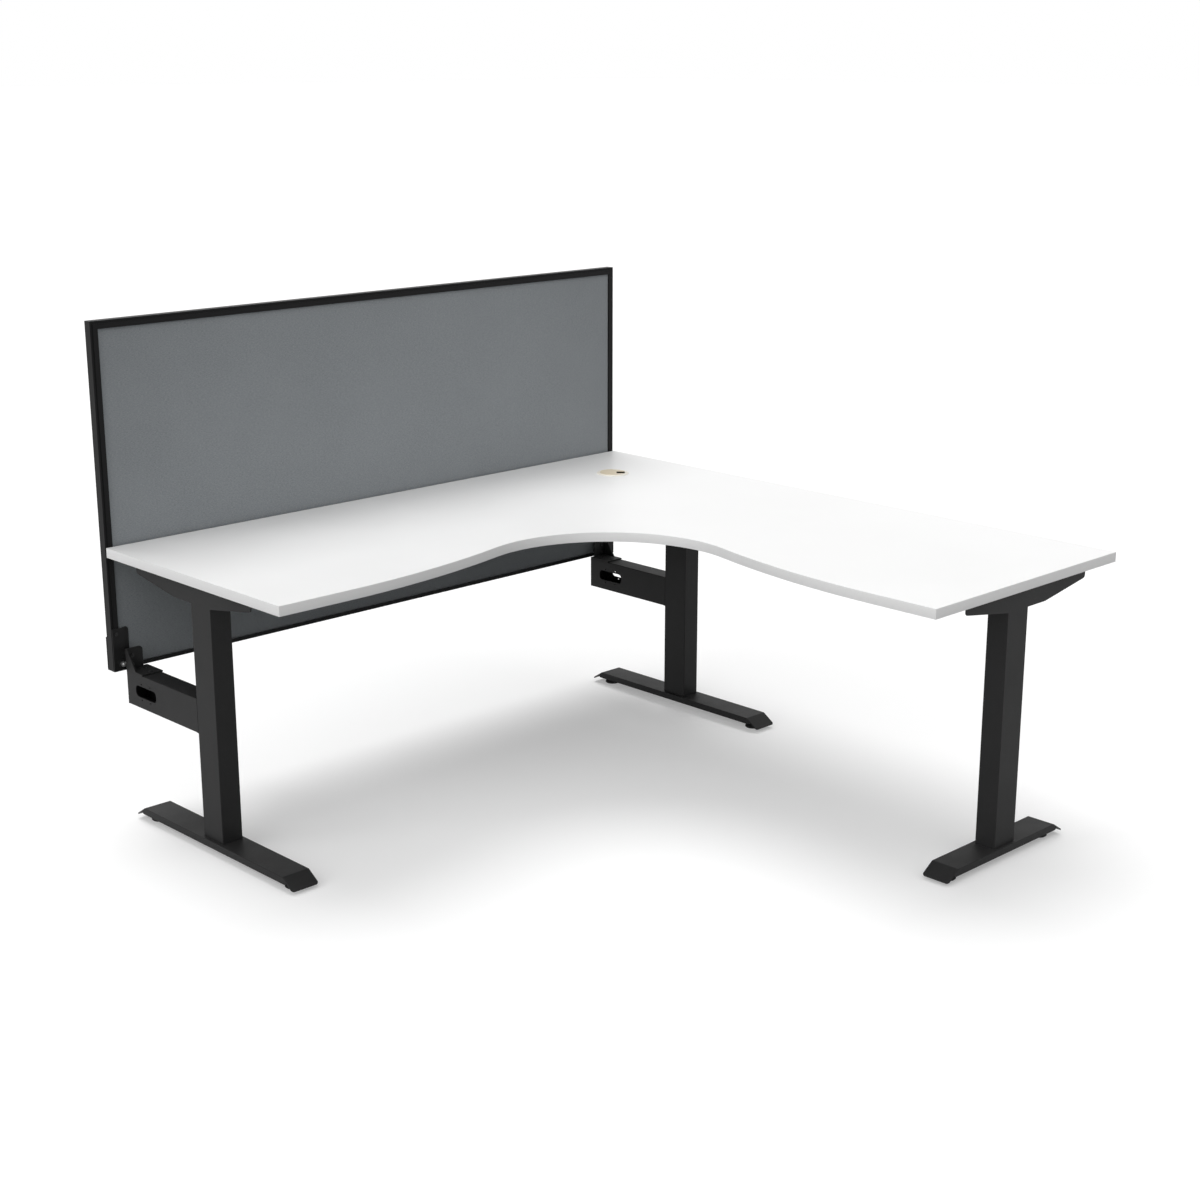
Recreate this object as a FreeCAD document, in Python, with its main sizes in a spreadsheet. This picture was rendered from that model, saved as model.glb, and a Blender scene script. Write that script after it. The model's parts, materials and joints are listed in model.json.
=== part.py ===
import FreeCAD, Part
import Sketcher
import math
import os

# Corner workstation: an L-shaped worktop with a waved front edge on three fixed steel columns,
# and a fabric screen that two cantilever arms hold behind it.
# Millimetres, +Z up, floor at Z = 0. X runs along the screen, the screen stands on the +Y side,
# and the side wing reaches towards -Y at the +X end. The origin is on the floor, at the middle
# of the part's box.

# Driving dimensions
SIZES = {
    # Worktop
    "wing_length": 1800,
    "wing_depth": 750,
    "top_height": 725,
    "top_thickness": 25,
    "waist_inset": 80,
    "inner_radius": 330,
    "straight_run": 190,
    "band_thickness": 2,
    # Cable port in the worktop
    "port_inset": 240,
    "port_bore_radius": 40,
    "port_flange_radius": 47.5,
    "port_flange_height": 2.5,
    "port_sleeve_depth": 20,
    "port_ledge_radius": 34,
    "port_ledge_thickness": 3,
    "port_ledge_drop": 2,
    "port_cap_radius": 37.5,
    "port_cap_height": 6,
    "port_cap_round": 1.5,
    "port_cap_step": 1.8,
    "port_cap_plate": 3.6,
    "port_cap_rim": 1,
    "port_notch_width": 28,
    "port_notch_depth": 26,
    "port_clearance": 0.3,
    # Leg places
    "end_setback": 25,
    "corner_inset": 87,
    "leg_line": 383,
    # Columns
    "column_depth": 84,
    "column_width": 58,
    "column_wall": 2.5,
    "column_corner": 2,
    "column_plate": 8,
    "plate_clearance": 1,
    # Feet
    "foot_width": 78,
    "foot_length": 695,
    "short_foot_length": 490,
    "foot_sheet": 3,
    "foot_height": 38,
    "foot_side_drop": 18,
    "foot_edge_round": 1.5,
    "foot_side_reach": 12,
    "foot_side_chamfer": 5,
    "tongue_run": 40,
    "tongue_tip_height": 12,
    "tongue_corner": 8,
    "tongue_bend": 8,
    # Levelling feet
    "leveller_inset": 50,
    "leveller_pad_radius": 22,
    "leveller_pad_height": 7,
    "leveller_pad_bevel": 2,
    "leveller_collar_radius": 10,
    "leveller_socket_floor": 3,
    "leveller_ball_radius": 6,
    "leveller_ball_height": 3,
    "leveller_stud_radius": 4,
    "leveller_top_gap": 1,
    "leveller_tip_bevel": 1,
    "leveller_nut_radius": 9,
    "leveller_nut_gap": 0.3,
    "leveller_running_gap": 0.08,
    # Top brackets
    "bracket_line": 347,
    "bracket_length": 500,
    "bracket_drop": 55,
    "bracket_tip_drop": 27,
    "bracket_sheet": 3,
    "bracket_tip_round": 8,
    "bracket_floor": 5,
    # Beams under the worktop
    "beam_line": 303,
    "beam_width": 30,
    "beam_height": 50,
    "beam_wall": 2,
    "beam_corner": 3,
    "beam_plate": 5,
    "beam_plate_width": 72,
    # Screen arms
    "arm_top": 400,
    "arm_height": 90,
    "arm_wall": 2.5,
    "arm_corner": 2,
    "arm_end_gap": 18,
    "arm_flange": 5,
    "arm_slot_line": 104,
    "arm_slot_length": 96,
    "arm_slot_height": 30,
    "arm_slot_round": 12,
    "arm_hole_radius": 2.5,
    "arm_hole_pitch": 41,
    "arm_hole_rise": 42,
    "arm_cap_lip": 1.5,
    "arm_cap_plug": 12,
    "arm_nut_plate": 6,
    # Screen
    "screen_gap": 2,
    "screen_depth": 30,
    "screen_bottom": 397,
    "screen_height": 900,
    "frame_face": 20,
    "bottom_face": 10.5,
    "frame_step": 7,
    "frame_step_depth": 3,
    "frame_groove": 8,
    "frame_key_near": 3,
    "frame_key_far": 9,
    "frame_key_depth": 15,
    "key_leg": 60,
    "key_clearance": 0.2,
    "core_thickness": 18,
    "fabric_thickness": 1.5,
    # Screen brackets and end clips
    "holder_plate": 4,
    "holder_base_length": 76,
    "holder_width": 48,
    "holder_overhang": 1.5,
    "holder_height": 58,
    "holder_round": 10,
    "holder_web_top": 8,
    "holder_web_foot": 44,
    "holder_spacer_radius": 6,
    "clip_plate": 2,
    "clip_width": 34,
    "clip_flange": 15,
    "clip_height": 112,
    "clip_strip_height": 50,
    "clip_strip_margin": 9,
    "clip_back_height": 86,
    "clip_round": 8,
    "clip_bolt_inset": 25.4,
    "clip_bolt_rise": 16,
    "clip_nut_radius": 7.5,
    "clip_nut_height": 6.5,
    "clip_bolt_end": 2,
    "clip_screw_inset": 11,
    "clip_screw_rise": 98,
    # Fasteners
    "bolt_radius": 4,
    "bolt_head_radius": 6.5,
    "bolt_head_height": 5,
    "bolt_socket_radius": 3,
    "bolt_socket_depth": 2.5,
    "screw_radius": 2.5,
    "screw_head_radius": 4.5,
    "screw_head_height": 2.5,
    "screw_socket_radius": 1.7,
    "screw_socket_depth": 1.5,
    "screw_bite": 14,
    "hole_clearance": 0.2,
    "leg_bolt_pitch": 46,
    "leg_bolt_gauge": 28,
    "beam_bolt_pitch": 52,
    "arm_bolt_pitch": 50,
    "arm_bolt_gauge": 26,
    "top_screw_inner": 130,
    "top_screw_outer": 215,
    "holder_base_near": 42,
    "holder_base_far": 82,
    "holder_screw_inset": 16,
    "holder_screw_rise": 16,
    "holder_screw_pitch": 24,
    # Cuts run this far past the faces that they open
    "cut_overrun": 5,
}


class Size:
    """A length together with the sheet expression that gives it."""

    def __init__(self, value, text):
        self.value = value
        self.text = text

    def __add__(self, other):
        other = as_size(other)
        return Size(self.value + other.value, f"({self.text} + {other.text})")

    def __sub__(self, other):
        other = as_size(other)
        return Size(self.value - other.value, f"({self.text} - {other.text})")

    def __mul__(self, other):
        other = as_size(other)
        return Size(self.value * other.value, f"({self.text} * {other.text})")

    def __truediv__(self, other):
        other = as_size(other)
        return Size(self.value / other.value, f"({self.text} / {other.text})")

    def __neg__(self):
        return Size(-self.value, f"(0 - {self.text})")

    __rmul__ = __mul__


def as_size(number):
    """A Size as it is, or a plain number as a Size."""
    if isinstance(number, Size):
        return number
    return Size(number, f"({number})")


def hypotenuse(first, second):
    """The long side of a right triangle."""
    text = f"sqrt({first.text} * {first.text} + {second.text} * {second.text})"
    return Size(math.hypot(first.value, second.value), text)


doc = FreeCAD.newDocument("corner_workstation")
sheet = doc.addObject("Spreadsheet::Sheet", "Sizes")
for row, (alias, number) in enumerate(SIZES.items(), start=1):
    sheet.set(f"A{row}", alias)
    sheet.set(f"B{row}", str(number))
    sheet.setAlias(f"B{row}", alias)
doc.recompute()


class Lookup:
    """The sheet's sizes by name."""

    def __getattr__(self, alias):
        return Size(float(SIZES[alias]), f"Sizes.{alias}")


d = Lookup()
ZERO = as_size(0)
nodes = []

# Places that several pieces share
half_length = d.wing_length / 2
rear_reach = d.screen_gap + d.screen_depth + d.clip_plate + d.bolt_head_height
corner_x = half_length
corner_y = (d.wing_length - rear_reach) / 2
top_underside = d.top_height - d.top_thickness
bracket_bottom = top_underside - d.bracket_drop
bracket_shift = d.leg_line - d.bracket_line
bracket_flat_half = bracket_shift + d.column_depth / 2
column_inner_depth = d.column_depth - d.column_wall * 2
column_inner_width = d.column_width - d.column_wall * 2
channel_width = d.column_width - d.bracket_sheet * 2
screen_front = corner_y + d.screen_gap
screen_back = screen_front + d.screen_depth
panel_depth = d.core_thickness + d.fabric_thickness * 2
panel_recess = (d.screen_depth - panel_depth) / 2
arm_bottom = d.arm_top - d.arm_height
arm_back = corner_y - d.arm_end_gap
column_back = corner_y - d.leg_line + d.column_depth / 2
bolt_hole = d.bolt_radius + d.hole_clearance
screw_hole = d.screw_radius + d.hole_clearance

# Turns that point a piece's own +Z along a direction
FACING = {
    "up": FreeCAD.Rotation(),
    "down": FreeCAD.Rotation(FreeCAD.Vector(1, 0, 0), 180),
    "right": FreeCAD.Rotation(FreeCAD.Vector(0, 1, 0), 90),
    "left": FreeCAD.Rotation(FreeCAD.Vector(0, 1, 0), -90),
    "back": FreeCAD.Rotation(FreeCAD.Vector(1, 0, 0), -90),
    "front": FreeCAD.Rotation(FreeCAD.Vector(1, 0, 0), 90),
}
STEPS = {
    "up": (0, 0, 1),
    "down": (0, 0, -1),
    "right": (1, 0, 0),
    "left": (-1, 0, 0),
    "back": (0, 1, 0),
    "front": (0, -1, 0),
}
OPPOSITE = {"up": "down", "down": "up", "right": "left", "left": "right", "back": "front", "front": "back"}


def bind(item, prop, size):
    """Drive one property from the sheet."""
    item.setExpression(prop, as_size(size).text)


def place(item, at, turn=None):
    """Put an object at a point given by three sizes, with an optional turn."""
    item.Placement = FreeCAD.Placement(FreeCAD.Vector(), turn or FreeCAD.Rotation())
    for axis, size in zip("xyz", at):
        bind(item, f"Placement.Base.{axis}", size)


def moved(at, facing, distance):
    """A point moved along a direction."""
    return tuple(as_size(p) + as_size(distance) * step for p, step in zip(at, STEPS[facing]))


def keep(item, label):
    """Name a finished piece and put it on the list of nodes."""
    item.Label = label
    nodes.append((label, item))
    return item


def box(at, spans, turn=None):
    """A block from its lowest corner and its three sides."""
    block = doc.addObject("Part::Box", "block")
    for prop, span in zip(("Length", "Width", "Height"), spans):
        bind(block, prop, span)
    place(block, at, turn)
    return block


def cylinder(at, facing, radius, height):
    """A round bar that starts at a point and runs along a direction."""
    bar = doc.addObject("Part::Cylinder", "bar")
    bind(bar, "Radius", radius)
    bind(bar, "Height", height)
    place(bar, at, FACING[facing])
    return bar


def fuse(parts):
    """One solid from parts that meet."""
    joined = doc.addObject("Part::MultiFuse", "joined")
    joined.Shapes = parts
    joined.Refine = True
    return joined


def group(parts):
    """Separate solids kept together."""
    held = doc.addObject("Part::Compound", "held")
    held.Links = parts
    return held


def drill(base, cutters):
    """A piece with holes or cuts taken out of it."""
    cut = doc.addObject("Part::Cut", "drilled")
    cut.Base = base
    cut.Tool = group(cutters)
    return cut


def hexagon(at, facing, radius, height):
    """A six-sided bar that starts at a point and runs along a direction."""
    bar = doc.addObject("Part::Prism", "hexagon")
    bar.Polygon = 6
    bind(bar, "Circumradius", radius)
    bind(bar, "Height", height)
    place(bar, at, FACING[facing])
    return bar


def headed(at, facing, grip, radius, head, socket):
    """A fastener whose head sits at a point, whose shank runs along a direction, with a hexagon socket."""
    away = OPPOSITE[facing]
    head_radius, head_height = head
    socket_radius, socket_depth = socket
    shank = cylinder(at, facing, radius, grip)
    cap = cylinder(at, away, head_radius, head_height)
    recess = hexagon(moved(at, away, head_height - socket_depth), away, socket_radius,
                     socket_depth + d.cut_overrun)
    return drill(fuse([shank, cap]), [recess])


def bolt(at, facing, grip):
    """A socket head bolt."""
    return headed(at, facing, grip, d.bolt_radius, (d.bolt_head_radius, d.bolt_head_height),
                  (d.bolt_socket_radius, d.bolt_socket_depth))


def screw(at, facing, grip):
    """A small socket head screw."""
    return headed(at, facing, grip, d.screw_radius, (d.screw_head_radius, d.screw_head_height),
                  (d.screw_socket_radius, d.screw_socket_depth))


def hole(at, facing, depth, radius):
    """A cutter that opens a wall which starts at a point."""
    start = moved(at, facing, -d.cut_overrun)
    return cylinder(start, facing, radius, depth + d.cut_overrun * 2)


def new_body(name):
    return doc.addObject("PartDesign::Body", name)


def new_sketch(body, plane, lift=None):
    """A sketch on one of the body's own planes, lifted along that plane's normal."""
    sketch = body.newObject("Sketcher::SketchObject", "profile")
    support = next(item for item in body.Origin.OriginFeatures if item.Role == plane)
    sketch.AttachmentSupport = (support, [""])
    sketch.MapMode = "FlatFace"
    if lift is not None:
        bind(sketch, "AttachmentOffset.Base.z", lift)
    return sketch


def arc_between(start, end, radius, turns_left):
    """The short arc from one point to another, and whether the sketch stores it in that order."""
    middle = (start + end) * 0.5
    chord = end - start
    rise = math.sqrt(max(radius * radius - chord.Length * chord.Length / 4, 0))
    side = FreeCAD.Vector(-chord.y, chord.x, 0).normalize()
    centre = middle + side * (rise if turns_left else -rise)
    first, last = (start, end) if turns_left else (end, start)
    angles = [math.atan2(p.y - centre.y, p.x - centre.x) for p in (first, last)]
    circle = Part.Circle(centre, FreeCAD.Vector(0, 0, 1), radius)
    return Part.ArcOfCircle(circle, angles[0], angles[1])


def fix_datum(sketch, constraint, size):
    """Add a dimension to a sketch and drive it from the sheet."""
    index = sketch.addConstraint(constraint)
    bind(sketch, f"Constraints[{index}]", size)


def draw_outline(sketch, path):
    """A closed outline. Each entry is x, y and how the edge leaves: None, or a radius and a left turn."""
    path = [(as_size(x), as_size(y), bend) for x, y, bend in path]
    points = [FreeCAD.Vector(x.value, y.value, 0) for x, y, bend in path]
    first = sketch.GeometryCount
    starts = []
    ends = []
    for index, (x, y, bend) in enumerate(path):
        start = points[index]
        end = points[(index + 1) % len(path)]
        if bend is None:
            sketch.addGeometry(Part.LineSegment(start, end), False)
            starts.append(1)
            ends.append(2)
        else:
            radius, turns_left = bend
            sketch.addGeometry(arc_between(start, end, radius.value, turns_left), False)
            starts.append(1 if turns_left else 2)
            ends.append(2 if turns_left else 1)
    for index, (x, y, bend) in enumerate(path):
        after = (index + 1) % len(path)
        link = Sketcher.Constraint("Coincident", first + index, ends[index], first + after, starts[after])
        sketch.addConstraint(link)
    for index, (x, y, bend) in enumerate(path):
        spot = (-1, 1, first + index, starts[index])
        fix_datum(sketch, Sketcher.Constraint("DistanceX", *spot, x.value), x)
        fix_datum(sketch, Sketcher.Constraint("DistanceY", *spot, y.value), y)
        if bend is not None:
            radius = bend[0]
            fix_datum(sketch, Sketcher.Constraint("Radius", first + index, radius.value), radius)


def corners(points):
    """An outline of straight edges through points."""
    return [(x, y, None) for x, y in points]


def rectangle(left, low, width, height):
    """The outline of a rectangle from its lower left corner."""
    right = as_size(left) + width
    high = as_size(low) + height
    return corners([(left, low), (right, low), (right, high), (left, high)])


def rounded(centre_x, centre_y, width, height, radius):
    """The outline of a rectangle with round corners, about its centre."""
    x = as_size(centre_x)
    y = as_size(centre_y)
    w = width / 2
    v = height / 2
    bend = (radius, True)
    return [
        (x - w + radius, y - v, None), (x + w - radius, y - v, bend),
        (x + w, y - v + radius, None), (x + w, y + v - radius, bend),
        (x + w - radius, y + v, None), (x - w + radius, y + v, bend),
        (x - w, y + v - radius, None), (x - w, y - v + radius, bend),
    ]


def draw_circle(sketch, x, y, radius):
    """A circle about a point."""
    x = as_size(x)
    y = as_size(y)
    circle = Part.Circle(FreeCAD.Vector(x.value, y.value, 0), FreeCAD.Vector(0, 0, 1), radius.value)
    index = sketch.addGeometry(circle, False)
    fix_datum(sketch, Sketcher.Constraint("DistanceX", -1, 1, index, 3, x.value), x)
    fix_datum(sketch, Sketcher.Constraint("DistanceY", -1, 1, index, 3, y.value), y)
    fix_datum(sketch, Sketcher.Constraint("Radius", index, radius.value), radius)


def pad(body, sketch, length, both_ways=False):
    """Material from a sketch, along its normal or evenly both ways."""
    feature = body.newObject("PartDesign::Pad", "pad")
    feature.Profile = sketch
    bind(feature, "Length", length)
    feature.SideType = "Symmetric" if both_ways else "One side"
    doc.recompute()
    return feature


def pocket(body, sketch, length):
    """A cut from a sketch, evenly both ways."""
    feature = body.newObject("PartDesign::Pocket", "pocket")
    feature.Profile = sketch
    bind(feature, "Length", length)
    feature.SideType = "Symmetric"
    before = body.Shape.Volume
    doc.recompute()
    if not body.Shape.Volume < before:
        raise RuntimeError(f"{body.Name}: the cut takes nothing away")
    return feature


def revolve(body, sketch):
    """A turned piece about the sketch's upright axis."""
    feature = body.newObject("PartDesign::Revolution", "turned")
    feature.Profile = sketch
    feature.ReferenceAxis = (sketch, ["V_Axis"])
    feature.Angle = 360
    doc.recompute()
    return feature


def fillet(body, radius, chosen):
    """Round the edges of the body's last feature that pass a test."""
    base = body.Tip
    names = [f"Edge{index}" for index, edge in enumerate(base.Shape.Edges, start=1) if chosen(edge)]
    feature = body.newObject("PartDesign::Fillet", "rounding")
    feature.Base = (base, names)
    bind(feature, "Radius", radius)
    doc.recompute()
    return feature


def tube(name, plane, width, height, wall, corner, length):
    """A rectangular hollow section with round corners, padded along its plane's normal."""
    body = new_body(name)
    sketch = new_sketch(body, plane)
    draw_outline(sketch, rounded(ZERO, ZERO, width, height, corner))
    draw_outline(sketch, rounded(ZERO, ZERO, width - wall * 2, height - wall * 2, corner / 2))
    pad(body, sketch, length)
    return body


class Leg:
    """One leg's place. Its own X runs to the front along the foot, its own Y across it."""

    def __init__(self, name, x, y, degrees, foot_length, inner_side):
        self.name = name
        self.x = x
        self.y = y
        self.turn = FreeCAD.Rotation(FreeCAD.Vector(0, 0, 1), degrees)
        self.sideways = degrees == 180
        self.foot_length = foot_length
        self.inner_side = inner_side

    def spot(self, along, across, height):
        """A point given in the leg's own directions, in the part's frame."""
        along = as_size(along)
        across = as_size(across)
        if self.sideways:
            return (self.x - along, self.y - across, as_size(height))
        return (self.x + across, self.y - along, as_size(height))

    def inward(self):
        """The direction that points from the leg towards the beam it carries."""
        if self.sideways:
            return "back"
        return "right" if self.inner_side > 0 else "left"

    def block(self, along, across, height, spans):
        """A block set in the leg's own directions, from its lowest corner."""
        return box(self.spot(along, across, height), spans, self.turn)


left_leg_x = corner_x - d.wing_length + d.end_setback + d.column_width / 2
leg_y = corner_y - d.leg_line
legs = [
    Leg("left", left_leg_x, leg_y, -90, d.foot_length, 1),
    Leg("corner", corner_x - d.corner_inset, leg_y, -90, d.foot_length, -1),
    Leg("right", corner_x - d.leg_line, corner_y - d.wing_length + d.end_setback + d.column_width / 2, 180,
        d.short_foot_length, -1),
]
left_leg, corner_leg, right_leg = legs
screen_sides = ((left_leg, -1), (corner_leg, 1))


def leg_bolt_spots():
    """The four bolt places round a column's middle, along and across the foot."""
    return [(d.leg_bolt_pitch / 2 * along, d.leg_bolt_gauge / 2 * across)
            for along in (-1, 1) for across in (-1, 1)]


def top_screw_spots():
    """The four worktop screw places along a top bracket, from the column's middle."""
    return [place_along * side - bracket_shift
            for side in (-1, 1) for place_along in (d.top_screw_inner, d.top_screw_outer)]


def worktop_outline(inset):
    """The waved L, drawn from its outer back corner and drawn in by an inset all round."""
    arc_centre = d.wing_depth - d.waist_inset + d.inner_radius
    wave_start = d.wing_length - d.straight_run
    wave_run = wave_start - arc_centre
    outer_radius = wave_run * wave_run / (d.waist_inset * 2) - d.inner_radius + d.waist_inset / 2
    share = outer_radius / (outer_radius + d.inner_radius)
    reach_back = outer_radius - d.wing_depth + arc_centre
    flank_along = wave_start - wave_run * share
    flank_across = d.wing_depth - outer_radius + reach_back * share
    # The inset moves the meeting point of the two arcs along their common normal.
    normal_share = as_size(inset) / (outer_radius + d.inner_radius)
    flank_along = flank_along + wave_run * normal_share
    flank_across = flank_across - reach_back * normal_share
    edge = -as_size(inset)
    end = inset - d.wing_length
    front = inset - d.wing_depth
    bulge = (outer_radius - inset, True)
    hollow = (d.inner_radius + inset, False)
    return [
        (edge, edge, None),
        (end, edge, None),
        (end, front, None),
        (-wave_start, front, bulge),
        (-flank_along, -flank_across, hollow),
        (-flank_across, -flank_along, bulge),
        (front, -wave_start, None),
        (front, end, None),
        (edge, end, None),
    ]


def make_worktop():
    """The faced board with its cable bore and screw pilots, and the band round its edge."""
    board = new_body("board")
    sketch = new_sketch(board, "XY_Plane")
    draw_outline(sketch, worktop_outline(d.band_thickness))
    draw_circle(sketch, -d.port_inset, -d.port_inset, d.port_bore_radius)
    pad(board, sketch, d.top_thickness)
    place(board, (corner_x, corner_y, top_underside))
    pilots = []
    for leg in legs:
        for along in top_screw_spots():
            start = leg.spot(along, ZERO, top_underside - d.cut_overrun)
            pilots.append(cylinder(start, "up", d.screw_radius, d.screw_bite + d.cut_overrun))
    keep(drill(board, pilots), "worktop_board")

    band = new_body("band")
    sketch = new_sketch(band, "XY_Plane")
    draw_outline(sketch, worktop_outline(ZERO))
    draw_outline(sketch, worktop_outline(d.band_thickness))
    pad(band, sketch, d.top_thickness)
    place(band, (corner_x, corner_y, top_underside))
    keep(band, "edge_band")


def make_cable_port():
    """A flanged ring in the worktop's bore, and a cap that turns in it."""
    centre = (corner_x - d.port_inset, corner_y - d.port_inset, d.top_height)
    sleeve_radius = d.port_bore_radius - d.port_clearance
    cap_well_radius = d.port_cap_radius + d.port_clearance
    ledge_top = -d.port_ledge_drop
    ledge_bottom = ledge_top - d.port_ledge_thickness
    ring = new_body("port_ring")
    sketch = new_sketch(ring, "XZ_Plane")
    draw_outline(sketch, corners([
        (cap_well_radius, d.port_flange_height),
        (cap_well_radius, ledge_top),
        (d.port_ledge_radius, ledge_top),
        (d.port_ledge_radius, ledge_bottom),
        (cap_well_radius, ledge_bottom - (cap_well_radius - d.port_ledge_radius)),
        (cap_well_radius, -d.port_sleeve_depth),
        (sleeve_radius, -d.port_sleeve_depth),
        (sleeve_radius, ZERO),
        (d.port_flange_radius, ZERO),
        (d.port_flange_radius, d.port_flange_height / 3),
        (d.port_flange_radius - d.port_flange_height, d.port_flange_height),
    ]))
    revolve(ring, sketch)
    place(ring, centre)
    keep(ring, "cable_port_ring")

    seat = ledge_top + d.port_clearance
    cap = new_body("port_cap")
    sketch = new_sketch(cap, "XY_Plane", seat)
    half_notch = d.port_notch_width / 2
    draw_circle(sketch, ZERO, ZERO, d.port_cap_radius)
    pad(cap, sketch, d.port_cap_height)
    top = seat.value + d.port_cap_height.value
    fillet(cap, d.port_cap_round, lambda edge: abs(edge.BoundBox.ZMin - top) < edge.Length / 1000)
    sketch = new_sketch(cap, "XY_Plane")
    draw_outline(sketch, rectangle(-half_notch, -d.port_cap_radius - d.cut_overrun,
                                   d.port_notch_width, d.port_notch_depth + d.cut_overrun))
    pocket(cap, sketch, (d.port_cap_height + d.port_ledge_drop + d.cut_overrun) * 2)
    sketch = new_sketch(cap, "XY_Plane", seat)
    draw_circle(sketch, ZERO, ZERO, d.port_ledge_radius - d.port_cap_rim)
    pocket(cap, sketch, (d.port_cap_height - d.port_cap_plate) * 2)
    sketch = new_sketch(cap, "XY_Plane", seat + d.port_cap_height)
    far = d.port_cap_radius
    draw_outline(sketch, rectangle(-far, -far * 2, far * 2, far * 2))
    pocket(cap, sketch, d.port_cap_step * 2)
    place(cap, centre, FreeCAD.Rotation(FreeCAD.Vector(0, 0, 1), 45))
    keep(cap, "cable_port_cap")


def make_column(leg):
    """A column tube that stands on the foot and ends under the top bracket."""
    column = tube(f"column_tube_{leg.name}", "XY_Plane", d.column_depth, d.column_width,
                  d.column_wall, d.column_corner, bracket_bottom - d.foot_height)
    place(column, leg.spot(ZERO, ZERO, d.foot_height), leg.turn)
    if leg is right_leg:
        keep(column, f"column_{leg.name}")
        return
    holes = [hole(at, "front", d.column_wall, bolt_hole) for at in arm_bolt_spots(leg, column_back)]
    keep(drill(column, holes), f"column_{leg.name}")


def make_foot(leg):
    """A folded steel foot: a flat top with two turned-down sides and a sloping tongue at each end."""
    half = leg.foot_length / 2
    flat = half - d.tongue_run
    drop = d.foot_height - d.tongue_tip_height
    slope = hypotenuse(d.tongue_run, drop)
    thick_along = d.foot_sheet * drop / slope
    thick_down = d.foot_sheet * d.tongue_run / slope
    mitre = d.foot_sheet * (slope - d.tongue_run) / drop
    underside = d.foot_height - d.foot_sheet
    side_half = flat + d.foot_side_reach
    side_bottom = d.foot_height - d.foot_side_drop
    side_end = d.foot_height - drop * d.foot_side_reach / d.tongue_run
    foot = new_body(f"foot_sheet_{leg.name}")
    sketch = new_sketch(foot, "XZ_Plane")
    draw_outline(sketch, corners([
        (-flat, d.foot_height),
        (-side_half, side_end),
        (-side_half, side_bottom + d.foot_side_chamfer),
        (d.foot_side_chamfer - side_half, side_bottom),
        (side_half - d.foot_side_chamfer, side_bottom),
        (side_half, side_bottom + d.foot_side_chamfer),
        (side_half, side_end),
        (flat, d.foot_height),
    ]))
    pad(foot, sketch, d.foot_width, both_ways=True)
    inside = d.foot_width - d.foot_sheet * 2
    sketch = new_sketch(foot, "YZ_Plane")
    draw_outline(sketch, rectangle(-inside / 2, ZERO, inside, underside))
    pocket(foot, sketch, leg.foot_length)
    sketch = new_sketch(foot, "XZ_Plane")
    draw_outline(sketch, corners([
        (-half, d.tongue_tip_height),
        (thick_along - half, d.tongue_tip_height - thick_down),
        (mitre - flat, underside),
        (flat - mitre, underside),
        (half - thick_along, d.tongue_tip_height - thick_down),
        (half, d.tongue_tip_height),
        (flat, d.foot_height),
        (-flat, d.foot_height),
    ]))
    pad(foot, sketch, d.foot_width, both_ways=True)
    tip = half.value - thick_along.value * 2
    near = d.foot_sheet.value
    fillet(foot, d.tongue_corner,
           lambda edge: abs(edge.CenterOfMass.x) > tip and abs(edge.Length - near) < near / 100)
    bend = flat.value
    fillet(foot, d.tongue_bend,
           lambda edge: abs(abs(edge.CenterOfMass.x) - bend) < near / 100
           and abs(edge.CenterOfMass.y) < near)
    edge_y = d.foot_width.value / 2
    crown = d.foot_height.value
    fillet(foot, d.foot_edge_round,
           lambda edge: abs(abs(edge.CenterOfMass.y) - edge_y) < near / 100
           and abs(edge.CenterOfMass.z - crown) < near / 100 and abs(edge.CenterOfMass.x) < near)
    place(foot, leg.spot(ZERO, ZERO, ZERO), leg.turn)
    holes = [hole(leg.spot(along, across, d.foot_height - d.foot_sheet), "up", d.foot_sheet, bolt_hole)
             for along, across in leg_bolt_spots()]
    keep(drill(foot, holes), f"foot_{leg.name}")


def make_top_bracket(leg):
    """A folded channel under the worktop, deepest over the column and tapered to round tips."""
    half = d.bracket_length / 2
    top = top_underside
    tip = top - d.bracket_tip_drop
    channel = new_body(f"bracket_channel_{leg.name}")
    sketch = new_sketch(channel, "XZ_Plane")
    draw_outline(sketch, corners([
        (-half - bracket_shift, top),
        (-half - bracket_shift, tip),
        (-bracket_flat_half - bracket_shift, bracket_bottom),
        (bracket_flat_half - bracket_shift, bracket_bottom),
        (half - bracket_shift, tip),
        (half - bracket_shift, top),
    ]))
    pad(channel, sketch, d.column_width, both_ways=True)
    tip_height = tip.value
    near = d.bracket_sheet.value
    fillet(channel, d.bracket_tip_round,
           lambda edge: abs(edge.CenterOfMass.z - tip_height) < near / 100
           and abs(edge.CenterOfMass.y) < near)
    sketch = new_sketch(channel, "YZ_Plane")
    draw_outline(sketch, rectangle(-channel_width / 2, bracket_bottom - d.cut_overrun, channel_width,
                                   d.bracket_drop - d.bracket_sheet + d.cut_overrun))
    pocket(channel, sketch, (half + bracket_shift) * 2)
    place(channel, leg.spot(ZERO, ZERO, ZERO), leg.turn)
    holes = [hole(leg.spot(along, ZERO, top - d.bracket_sheet), "up", d.bracket_sheet, screw_hole)
             for along in top_screw_spots()]
    for at in beam_bolt_spots(leg):
        holes.append(hole(at, leg.inward(), d.bracket_sheet, bolt_hole))
    keep(drill(channel, holes), f"top_bracket_{leg.name}")


def beam_bolt_spots(leg):
    """The two bolt places on the inside of a bracket's inner wall, either side of its beam."""
    middle = d.leg_line - d.beam_line
    height = top_underside - d.beam_height / 2
    across = channel_width / 2 * leg.inner_side
    return [leg.spot(d.beam_bolt_pitch / 2 * side - middle, across, height) for side in (-1, 1)]


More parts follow.
